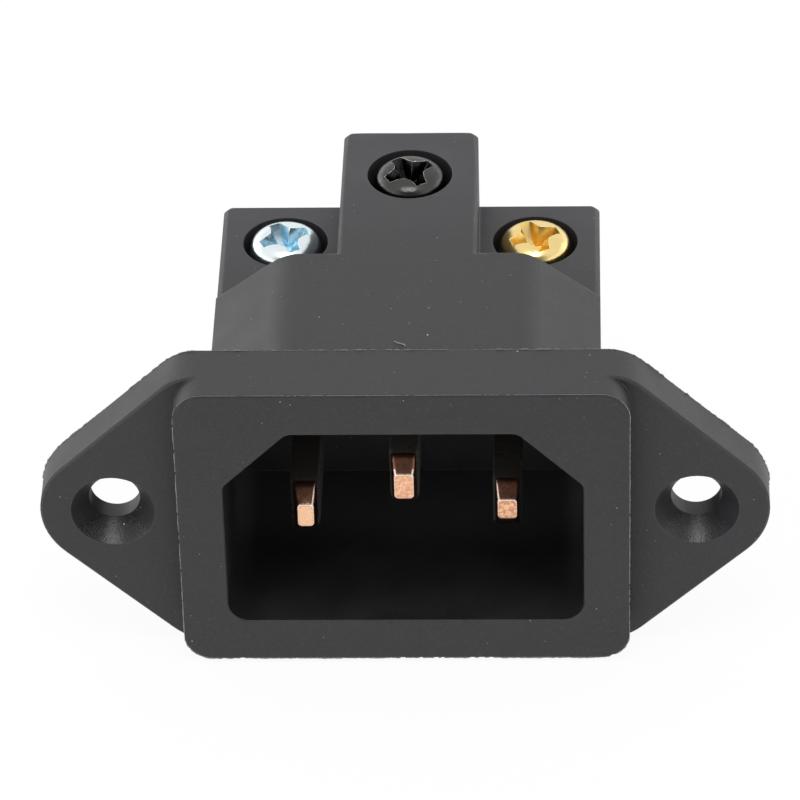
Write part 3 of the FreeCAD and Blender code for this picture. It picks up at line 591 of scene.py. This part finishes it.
def to_object(name, mesh, place=(0.0, 0.0, 0.0)):
    """A Blender object in metres from a mesh drawn in millimetres."""
    bmesh.ops.scale(mesh, vec=(MM, MM, MM), verts=mesh.verts)
    bmesh.ops.translate(mesh, vec=place, verts=mesh.verts)
    data = bpy.data.meshes.new(name)
    mesh.to_mesh(data)
    mesh.free()
    thing = bpy.data.objects.new(name, data)
    bpy.context.scene.collection.objects.link(thing)
    return thing


def shade_smooth(thing, sharp):
    """Smooth shading, broken at the edges that turn by more than an angle."""
    thing.data.polygons.foreach_set("use_smooth", [True] * len(thing.data.polygons))
    thing.data.set_sharp_from_angle(angle=sharp)


def apply_modifiers(thing):
    graph = bpy.context.evaluated_depsgraph_get()
    baked = bpy.data.meshes.new_from_object(thing.evaluated_get(graph))
    old = thing.data
    thing.modifiers.clear()
    thing.data = baked
    bpy.data.meshes.remove(old)


def make_screw(node, body, turn, screw):
    """A pan head screw with a tapered cross recess and a ribbed shank, where the CAD screw is."""
    low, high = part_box(node)
    axis_x, axis_y = (low.x + high.x) / 2, (low.y + high.y) / 2
    underside = high.z / MM - HEAD_HEIGHT
    foot = low.z / MM - underside
    shank = thread_points(0.0, foot + TIP_LENGTH + TIP_CONE, SHANK_RADIUS, screw.thread_pitch / MM,
                          screw.thread_depth / MM, NECK_RADIUS)
    tip = [(NECK_RADIUS, foot + TIP_LENGTH), (TIP_RADIUS, foot), (0.0, foot)]
    mesh = spin_profile(list(HEAD_PROFILE) + shank + tip, SPIN_STEPS)
    thing = to_object(node + "_turned", mesh, (axis_x, axis_y, underside * MM))
    cutter = to_object(node + "_cutter", recess_cutter(screw, math.radians(turn), HEAD_PROFILE[0][1]),
                       (axis_x - RECESS_ASIDE, axis_y - RECESS_FORWARD, underside * MM))
    cut = thing.modifiers.new("Recess", "BOOLEAN")
    cut.operation = "DIFFERENCE"
    cut.solver = "EXACT"
    cut.object = cutter
    bpy.context.view_layer.update()
    apply_modifiers(thing)
    bpy.data.objects.remove(cutter)
    mark_recess(thing, axis_x, axis_y, underside)
    shade_smooth(thing, SHARP)
    soften = thing.modifiers.new("Edges", "BEVEL")
    soften.width = 0.035 * MM
    soften.segments = 2
    soften.limit_method = "ANGLE"
    soften.angle_limit = SHARP
    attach(thing, body)
    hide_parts(node)
    return thing


def crown_height(radius):
    """Height of the head's surface over its underside at a radius, in millimetres."""
    for (inner, upper), (outer, lower) in zip(HEAD_PROFILE, HEAD_PROFILE[1:]):
        if inner <= radius <= outer:
            return upper + (lower - upper) * (radius - inner) / (outer - inner)
    return 0.0


def mark_recess(thing, axis_x, axis_y, underside):
    """A face attribute that is 1 on the recess's own walls and floor."""
    mark = thing.data.attributes.new("recess", "FLOAT", "FACE")
    values = []
    for face in thing.data.polygons:
        centre = face.center
        radius = math.hypot(centre.x - axis_x, centre.y - axis_y) / MM
        sunk = crown_height(radius) - (centre.z / MM - underside)
        own = radius < RECESS_SPAN and RECESS_SUNK[0] < sunk < RECESS_SUNK[1]
        values.append(1.0 if own else 0.0)
    mark.data.foreach_set("value", values)


# Blades

def rounded_rectangle(width, height, radius, steps=4):
    """Points of an upright rounded rectangle, anticlockwise from its right side."""
    points = []
    for turn, (sign_x, sign_z) in enumerate(((1, 1), (-1, 1), (-1, -1), (1, -1))):
        for step in range(steps + 1):
            angle = (turn + step / steps) * math.pi / 2
            points.append((sign_x * (width / 2 - radius) + radius * math.cos(angle),
                           sign_z * (height / 2 - radius) + radius * math.sin(angle)))
    return points


def blade_sections(tip, end):
    """Y, width, height, corner radius of each section of a blade, and how its strip of faces shows
    towards the next one: 1 a painted highlight line round the tip, -1 a line of painted shade inside it."""
    tang, stop, floor = end - 1.2, 14.8, 11.8
    return ((tip, 1.08, 1.62, 0.20, -1.0), (tip, 1.16, 1.70, 0.22, 1.0), (tip, 1.31, 1.86, 0.28, 0.5),
            (tip + 0.05, 1.40, 1.98, 0.31, 0.0), (tip + 0.14, 1.48, 2.13, 0.32, 0.0),
            (tip + 0.30, 1.53, 2.50, 0.30, 0.0), (tip + 0.68, 1.60, 3.40, 0.24, 0.0),
            (tip + 0.92, 1.66, 3.90, 0.18, 0.0), (tip + 1.06, 1.72, 4.0, 0.16, 0.0),
            (tip + 1.60, 2.0, 4.0, 0.16, 0.0), (floor, 2.0, 4.0, 0.12, 0.0), (stop, 2.0, 4.0, 0.08, 0.0),
            (stop, 2.0, 5.2, 0.08, 0.0), (tang, 2.0, 5.2, 0.08, 0.0), (tang, 1.2, 2.6, 0.08, 0.0),
            (end, 1.2, 2.6, 0.08, 0.0))


# How many of a blade's sections make its tip and chamfer, and how long those are in millimetres
TIP_SECTIONS, CHAMFER_LENGTH = 9, 1.06
# How many sections back the painted highlight lines run, on a blade with both corners highlit or with one
LINE_SECTIONS = {2: 5, 1: 7}
# The facet of a section's outline that carries the painted highlight line of each upper corner
CORNER_FACETS = {"right": 2, "left": 6}


def make_blade(node, stain, highlit_corners, face_back, chamfer_back, worn, ground):
    """A stamped blade with a coined tip, a stop behind the floor wall and a riveted tang."""
    low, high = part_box(node)
    middle = (low + high) / 2 / MM
    sections = blade_sections(low.y / MM, high.y / MM)
    mesh = bmesh.new()
    rim = mesh.faces.layers.float.new("rim")
    mark = mesh.faces.layers.float.new("stain")
    dull = mesh.faces.layers.float.new("dull")
    rings = []
    for level, (y, width, height, radius, _) in enumerate(sections):
        if level < TIP_SECTIONS:
            share = max(0.0, 1.0 - (y - sections[0][0]) / CHAMFER_LENGTH)
            y += chamfer_back + (face_back - chamfer_back) * share
            lift = worn * share ** 4
            inset = ground * (0.3 + 0.7 * share)
        else:
            lift = inset = 0.0
        rings.append([mesh.verts.new((x + (inset if x < 0.0 else 0.0), y, z + (lift if z < 0.0 else 0.0)))
                      for x, z in rounded_rectangle(width, height, radius)])
    facets = [CORNER_FACETS[side] for side in highlit_corners]
    for level, (nearer, further) in enumerate(zip(rings, rings[1:])):
        for step, face in enumerate(join_rings(mesh, nearer, further)):
            # Marks the strips behind the tip for the painted shade coat
            face[dull] = 1.0 if level >= TIP_SECTIONS - 1 else 0.0
            # The lines are stronger on the upper faces: painted light from above
            high_up = (nearer[step].co.z + nearer[(step + 1) % len(nearer)].co.z) / 2 > 0.3
            face[rim] = sections[level][4] * (1.0 if high_up else 0.35)
            if step in facets and level < LINE_SECTIONS[len(facets)]:
                face[rim] = 0.8
    mesh.faces.new(rings[0])
    mesh.faces.new(rings[-1])
    for face in mesh.faces:
        face[mark] = stain
    bmesh.ops.recalc_face_normals(mesh, faces=mesh.faces)
    blade = to_object(node + "_stamped", mesh, (middle.x * MM, 0.0, middle.z * MM))
    shade_smooth(blade, math.radians(28))
    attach(blade, "inlet")
    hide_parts(node)
    return blade


# Moulding flash and dust

# Millimetres between two points of the flash's outline, half its thickness, and its depth in the plastic
FLASH_SPACING, FLASH_HALF_THICKNESS, FLASH_ROOT = 0.1, 0.022, 0.05


def arc_run(centre, radius, first, last):
    """Points and outward directions along an arc from one angle to another."""
    steps = max(2, int(abs(last - first) * radius / FLASH_SPACING))
    angles = (first + (last - first) * step / steps for step in range(steps + 1))
    outs = [Vector((math.cos(angle), math.sin(angle))) for angle in angles]
    return [(Vector(centre) + out * radius, out) for out in outs]


def straight_run(start, end, out):
    """Points and outward directions between two ends, which are left out."""
    steps = int((end - start).length / FLASH_SPACING)
    return [(start.lerp(end, step / steps), out) for step in range(1, steps)]


def flange_outline():
    """Points and outward directions round the flange, in X and Z, millimetres."""
    blend = Vector((EAR_BLEND_START - EAR_BLEND * math.tan(EAR_SLOPE / 2), FLANGE_HALF_HEIGHT - EAR_BLEND))
    quarter = [(Vector((x * FLASH_SPACING, FLANGE_HALF_HEIGHT)), Vector((0.0, 1.0)))
               for x in range(int(blend.x / FLASH_SPACING) + 1)]
    quarter += arc_run(blend, EAR_BLEND, math.pi / 2, math.pi / 2 - EAR_SLOPE)
    ear = arc_run((HOLE_ASIDE / MM, 0.0), EAR_RADIUS, math.pi / 2 - EAR_SLOPE, 0.0)
    quarter += straight_run(quarter[-1][0], ear[0][0], ear[0][1]) + ear
    outline = []
    for sign_x, sign_z in ((1, 1), (1, -1), (-1, -1), (-1, 1)):
        run = [(Vector((p.x * sign_x, p.y * sign_z)), Vector((n.x * sign_x, n.y * sign_z)))
               for p, n in quarter]
        outline.extend(run if sign_x == sign_z else reversed(run))
    return outline


def frame_outline():
    """Points and outward directions round the raised frame's front edge."""
    centres = [Vector((FRAME_CORNER[0] * sign_x, FRAME_CORNER[1] * sign_z))
               for sign_x, sign_z in ((1, 1), (-1, 1), (-1, -1), (1, -1))]
    outline = []
    for turn, centre in enumerate(centres):
        corner = arc_run(centre, FRAME_RADIUS, turn * math.pi / 2, (turn + 1) * math.pi / 2)
        end, out = corner[-1]
        outline += corner + straight_run(end, centres[(turn + 1) % 4] + out * FRAME_RADIUS, out)
    return outline


def add_flash(mesh, outline, depth, lean, height, coverage, seed):
    """A thin ragged fin of flash along an outline. Lean tips it from outward towards -Y."""
    across = Vector((0.0, FLASH_HALF_THICKNESS, 0.0))
    previous = None
    for point, out in outline + outline[:1]:
        spot = Vector((point.x * 0.9, point.y * 0.9, seed))
        broad, fine = noise.noise(spot * 0.55), noise.noise(spot * 5.0)
        rise = height * max(0.0, coverage + broad * 0.8 + fine * 0.9)
        direction = Vector((out.x * (1 - lean), -lean, out.y * (1 - lean))).normalized()
        foot = Vector((point.x, depth, point.y)) - direction * FLASH_ROOT
        if rise <= 0.0:
            previous = None
            continue
        ring = [mesh.verts.new(foot - across), mesh.verts.new(foot + direction * (rise + FLASH_ROOT)),
                mesh.verts.new(foot + across)]
        if previous:
            for (a, b), (c, d) in zip(zip(previous, previous[1:]), zip(ring, ring[1:])):
                mesh.faces.new((a, b, d, c))
        previous = ring


def flake(mesh, place, normal, size, generator):
    """A small crumpled flake that lies on a surface."""
    turn = normal.to_track_quat("Z", "Y").to_matrix()
    corners = []
    for step in range(5):
        angle = 2 * math.pi * (step + generator.uniform(-0.3, 0.3)) / 5
        reach = size * generator.uniform(0.55, 1.0)
        lift = size * generator.uniform(-0.1, 0.2)
        offset = Vector((reach * math.cos(angle), reach * math.sin(angle), lift))
        corners.append(mesh.verts.new(place + turn @ offset))
    crown = mesh.verts.new(place + turn @ Vector((0.0, 0.0, size * generator.uniform(0.35, 0.7))))
    for step in range(5):
        mesh.faces.new((corners[step], corners[(step + 1) % 5], crown))


def surface_hit(start, direction):
    """Where a ray meets the housing, and the normal there, in millimetres. None if it misses."""
    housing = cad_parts["housing"]
    hit, place, normal, _ = housing.ray_cast(start * MM, direction)
    return (place / MM, normal) if hit else None


def thin_material(name, colour):
    """Torn or fibrous bits, pale where light comes through them."""
    material, tree, shader = new_material(name)
    grain = use_group(tree, "Fine grain", {"Scale": 9000.0, "Detail": 2.0})
    base = mix_colour(tree, ramp(tree, grain.outputs["Height"], 0.35, 0.65), scaled(colour, 0.55),
                      rgba(colour))
    tree.links.new(base, shader.inputs["Base Color"])
    shader.inputs["Roughness"].default_value = 0.6
    return material


# Operators

class InletHousing(bpy.types.Operator):
    """Dress the moulded housing"""
    bl_idname = "inlet.housing"
    bl_label = "Housing"

    def execute(self, context):
        dress("housing", plastic_material(context.scene.inlet_plastic))
        return {"FINISHED"}


class InletBlades(bpy.types.Operator):
    """Make the three copper blades"""
    bl_idname = "inlet.blades"
    bl_label = "Blades"

    def execute(self, context):
        material = copper_material(context.scene.inlet_metal)
        for blade_shape in BLADES:
            blade = make_blade(*blade_shape)
            blade.data.materials.append(material)
        return {"FINISHED"}


class InletClamps(bpy.types.Operator):
    """Dress the box clamps and their pressure plates"""
    bl_idname = "inlet.clamps"
    bl_label = "Clamps and plates"

    def execute(self, context):
        metal = context.scene.inlet_metal
        brass = bright_material("Clamp brass", metal.brass, 0.34)
        steel = bright_material("Plate steel", metal.steel, 0.38)
        for name in CLAMPS:
            dress(name, brass)
        for name in PLATES:
            dress(name, steel)
        return {"FINISHED"}


class InletScrews(bpy.types.Operator):
    """Make the three terminal screws"""
    bl_idname = "inlet.screws"
    bl_label = "Terminal screws"

    def execute(self, context):
        metal, screw = context.scene.inlet_metal, context.scene.inlet_screw
        finishes = {
            "zinc_steel": bright_material("Blue zinc plating", metal.zinc, 0.22, metal.zinc_tint),
            "screw_brass": bright_material("Bright brass", metal.brass, 0.22, metal.brass_tint),
            # The earth screw: painted shade in its recess, and bright broken rims that are painted glints
            # and worn black finish
            "black_steel": bright_material("Blackened steel", metal.blackened, 0.14,
                                           metal.blackened_recess_shade, worn=(0.95, 0.90, 0.84),
                                           relief=0.030, edge_glint_and_wear=1.3, raggedness=0.9),
        }
        for node, body, finish, turn in SCREWS:
            thing = make_screw(node, body, turn, screw)
            thing.data.materials.clear()
            thing.data.materials.append(finishes[finish])
        return {"FINISHED"}


class InletFlash(bpy.types.Operator):
    """Make the thin moulding flash on the frame's and the flange's edges"""
    bl_idname = "inlet.flash"
    bl_label = "Moulding flash"

    def execute(self, context):
        mesh = bmesh.new()
        add_flash(mesh, frame_outline(), depth=-5.13, lean=0.55, height=0.055, coverage=0.60, seed=1.7)
        add_flash(mesh, flange_outline(), depth=-0.03, lean=0.0, height=0.09, coverage=0.45, seed=5.1)
        flash = to_object("moulding_flash", mesh)
        # The flash's pale grey is partly a painted highlight along the frame's and the flange's edges
        flash.data.materials.append(thin_material("Torn plastic with painted highlight", (0.36, 0.36, 0.37)))
        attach(flash, "inlet")
        return {"FINISHED"}


# Specks that the top and the front carry: X and Z on the front, or X and Y on the top, and size
FRONT_SPECKS = ((-19.42, -2.02, 0.08), (-18.23, -0.74, 0.06), (-23.56, 1.27, 0.05), (-8.06, 10.93, 0.05),
                (-7.40, 10.68, 0.05), (14.5, 1.8, 0.05), (13.1, -7.0, 0.05), (-14.9, -9.8, 0.05))
TOP_SPECKS = ((1.67, 7.11, 0.07), (-5.87, 6.11, 0.06), (1.63, 3.97, 0.08), (7.83, -0.26, 0.08),
              (12.72, -0.69, 0.06))
# Fine specks on each of the two sides, their least and greatest size, and how far off a ray to the
# housing starts, in millimetres
FINE_SPECKS, FINE_SIZES, AWAY = 90, (0.018, 0.04), 40.0
DUST_SEED = 11
# The fibre's bends in X and Y, and its radius
FIBRE = ((-0.62, 3.22), (-0.40, 3.04), (-0.14, 2.92), (0.02, 2.87), (0.14, 2.72))
FIBRE_RADIUS = 0.05


class InletDust(bpy.types.Operator):
    """Scatter dust over the housing and lay one short fibre on top"""
    bl_idname = "inlet.dust"
    bl_label = "Dust and lint"

    def execute(self, context):
        generator = random.Random(DUST_SEED)
        mesh = bmesh.new()
        back, down = Vector((0.0, 1.0, 0.0)), Vector((0.0, 0.0, -1.0))
        for x, z, size in FRONT_SPECKS:
            self.settle(mesh, Vector((x, -AWAY, z)), back, size, generator)
        for x, y, size in TOP_SPECKS:
            self.settle(mesh, Vector((x, y, AWAY)), down, size, generator)
        for _ in range(FINE_SPECKS):
            start = Vector((generator.uniform(-25, 25), -AWAY, generator.uniform(-11.4, 11.4)))
            self.settle(mesh, start, back, generator.uniform(*FINE_SIZES), generator)
        for _ in range(FINE_SPECKS):
            start = Vector((generator.uniform(-15, 15), generator.uniform(-5.2, 28.7), AWAY))
            self.settle(mesh, start, down, generator.uniform(*FINE_SIZES), generator)
        self.lay_fibre(mesh)
        dust = to_object("dust", mesh)
        dust.data.materials.append(thin_material("Dust and lint", (0.72, 0.70, 0.66)))
        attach(dust, "inlet")
        return {"FINISHED"}

    def settle(self, mesh, start, direction, size, generator):
        hit = surface_hit(start, direction)
        if hit:
            flake(mesh, hit[0], hit[1], size, generator)

    def lay_fibre(self, mesh):
        """A fibre 0.8 mm long on the body's flat top, just behind the flange."""
        previous = None
        for x, y in FIBRE:
            ring = [mesh.verts.new((x, y + FIBRE_RADIUS * math.cos(angle),
                                    BODY_TOP + FIBRE_RADIUS * math.sin(angle)))
                    for angle in (0.0, 2.1, 4.2)]
            if previous:
                join_rings(mesh, previous, ring)
            previous = ring


# Each lamp's name, place, size across and along in metres, and power in watts
LAMPS = (("overhead", (-0.015, -0.20, 0.70), 0.30, 0.30, 1.50),
         ("left", (-0.60, 0.30, 0.22), 0.35, 0.35, 0.5),
         ("right", (0.60, 0.30, 0.22), 0.35, 0.35, 0.3))
# Where the surround is dimmest, behind the camera, and how much of the floor's look is its own light
DIM_DIRECTION = (0.03, -0.81, 0.585)
FLOOR_GLOW, FLOOR_HALF_SIZE = 0.93, 1500.0


def add_lamp(name, place, size_x, size_y, power):
    """A soft rectangular lamp that points at the part."""
    lamp = bpy.data.lights.new(name, "AREA")
    lamp.shape = "RECTANGLE"
    lamp.size, lamp.size_y = size_x, size_y
    lamp.energy = power
    thing = bpy.data.objects.new(name, lamp)
    bpy.context.scene.collection.objects.link(thing)
    thing.location = place
    thing.rotation_euler = (-Vector(place)).to_track_quat("-Z", "Y").to_euler()


class InletFloor(bpy.types.Operator):
    """Make the floor, the light and the camera"""
    bl_idname = "inlet.stage"
    bl_label = "Stage"

    def execute(self, context):
        stage = context.scene.inlet_stage
        self.make_floor(stage)
        self.make_light(context.scene)
        self.make_camera(context.scene, stage)
        return {"FINISHED"}

    def make_floor(self, stage):
        """A plain floor under the flange's rear edge and the body's rear edge."""
        flange_foot = Vector((0.0, 0.0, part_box("housing")[0].z))
        reach = Vector(BODY_FOOT) - flange_foot
        slope = math.atan2(reach.z, reach.y)
        mesh = bmesh.new()
        bmesh.ops.create_grid(mesh, x_segments=8, y_segments=8, size=FLOOR_HALF_SIZE)
        floor = to_object("floor", mesh)
        floor.rotation_euler = (slope, 0.0, 0.0)
        floor.location = flange_foot
        material, tree, shader = new_material("Pale floor")
        shader.inputs["Base Color"].default_value = rgba(stage.floor_colour)
        shader.inputs["Roughness"].default_value = 0.9
        shader.inputs["Specular IOR Level"].default_value = 0.0
        glow = add_node(tree, "ShaderNodeEmission", {"Color": (1.0, 1.0, 1.0, 1.0), "Strength": 1.0})
        rays = add_node(tree, "ShaderNodeLightPath")
        seen = math_node(tree, "MAXIMUM", rays.outputs["Is Camera Ray"], rays.outputs["Is Glossy Ray"])
        seen = math_node(tree, "MAXIMUM", seen, rays.outputs["Is Transmission Ray"])
        share = times(tree, seen, FLOOR_GLOW)
        blend = add_node(tree, "ShaderNodeMixShader", {0: share, 1: shader.outputs[0],
                                                       2: glow.outputs[0]})
        output = tree.nodes["Material Output"]
        tree.links.new(blend.outputs[0], output.inputs["Surface"])
        floor.data.materials.append(material)

    def make_light(self, scene):
        """A pale surround, darker in front above the part, and three soft lamps."""
        world = bpy.data.worlds.new("Pale surround")
        scene.world = world
        world.use_nodes = True
        tree = world.node_tree
        rays = add_node(tree, "ShaderNodeLightPath")
        direction = add_node(tree, "ShaderNodeTexCoord").outputs["Generated"]
        towards = add_node(tree, "ShaderNodeVectorMath", {0: direction, 1: DIM_DIRECTION},
                           operation="DOT_PRODUCT").outputs["Value"]
        axes = add_node(tree, "ShaderNodeSeparateXYZ", {0: direction})
        sides = math_node(tree, "ADD", ramp(tree, axes.outputs["X"], -0.60, -0.10, 1.0, 0.0),
                          ramp(tree, axes.outputs["X"], 0.10, 0.60, 0.0, 0.42))
        sides = times(tree, sides, ramp(tree, axes.outputs["Z"], 0.50, 0.20))
        sides = math_node(tree, "ADD", sides, 1.12)
        studio = times(tree, ramp(tree, towards, 0.74, 0.96, 1.0, 0.25), sides)
        level = ramp(tree, rays.outputs["Is Diffuse Ray"], 0.0, 1.0, 1.0, 0.90)
        studio = times(tree, studio, level)
        strength = add_node(tree, "ShaderNodeMix", {0: rays.outputs["Is Camera Ray"], 2: studio, 3: 1.0})
        background = tree.nodes["Background"]
        background.inputs["Color"].default_value = (1.0, 1.0, 1.0, 1.0)
        tree.links.new(strength.outputs[0], background.inputs["Strength"])
        for lamp in LAMPS:
            add_lamp(*lamp)

    def make_camera(self, scene, stage):
        yaw, pitch, roll = stage.yaw, stage.pitch, stage.roll
        forward = Vector((math.sin(yaw) * math.cos(pitch), math.cos(yaw) * math.cos(pitch),
                          -math.sin(pitch)))
        right = Vector((math.cos(yaw), -math.sin(yaw), 0.0))
        up = right.cross(forward)
        across = right * math.cos(roll) + up * math.sin(roll)
        upward = up * math.cos(roll) - right * math.sin(roll)
        place = Vector(stage.aim) - forward * stage.distance
        data = bpy.data.cameras.new("camera")
        data.sensor_width = 36.0
        data.lens = stage.focal_length
        data.clip_start, data.clip_end = 0.01, 20.0
        camera = bpy.data.objects.new("camera", data)
        scene.collection.objects.link(camera)
        turned = Matrix((across, upward, -forward)).transposed().to_4x4()
        camera.matrix_world = Matrix.Translation(place) @ turned
        scene.camera = camera
        scene.view_settings.view_transform = "Standard"


class InletPanel(bpy.types.Panel):
    """The inlet's pieces and finishes"""
    bl_idname = "VIEW3D_PT_inlet"
    bl_label = "Panel power inlet"
    bl_space_type = "VIEW_3D"
    bl_region_type = "UI"
    bl_category = "Inlet"

    def draw(self, context):
        for operator in OPERATORS:
            self.layout.operator(operator.bl_idname)
        for group in settings(context.scene):
            box = self.layout.box()
            for name in group.__annotations__:
                box.prop(group, name)


OPERATORS = (InletHousing, InletFlash, InletDust, InletBlades, InletClamps, InletScrews, InletFloor)
GROUPS = {"inlet_plastic": InletPlastic, "inlet_metal": InletMetal, "inlet_screw": InletScrew,
          "inlet_stage": InletStage}


def register():
    for group in GROUPS.values():
        bpy.utils.register_class(group)
    for name, group in GROUPS.items():
        setattr(bpy.types.Scene, name, PointerProperty(type=group))
    for operator in OPERATORS:
        bpy.utils.register_class(operator)
    bpy.utils.register_class(InletPanel)


def unregister():
    bpy.utils.unregister_class(InletPanel)
    for operator in reversed(OPERATORS):
        bpy.utils.unregister_class(operator)
    for name, group in reversed(GROUPS.items()):
        delattr(bpy.types.Scene, name)
        bpy.utils.unregister_class(group)


def main():
    register()
    bpy.ops.inlet.housing()
    bpy.ops.inlet.flash()
    bpy.ops.inlet.dust()
    bpy.ops.inlet.blades()
    bpy.ops.inlet.clamps()
    bpy.ops.inlet.screws()
    bpy.ops.inlet.stage()
    bpy.context.view_layer.update()


if __name__ == "__main__":
    main()
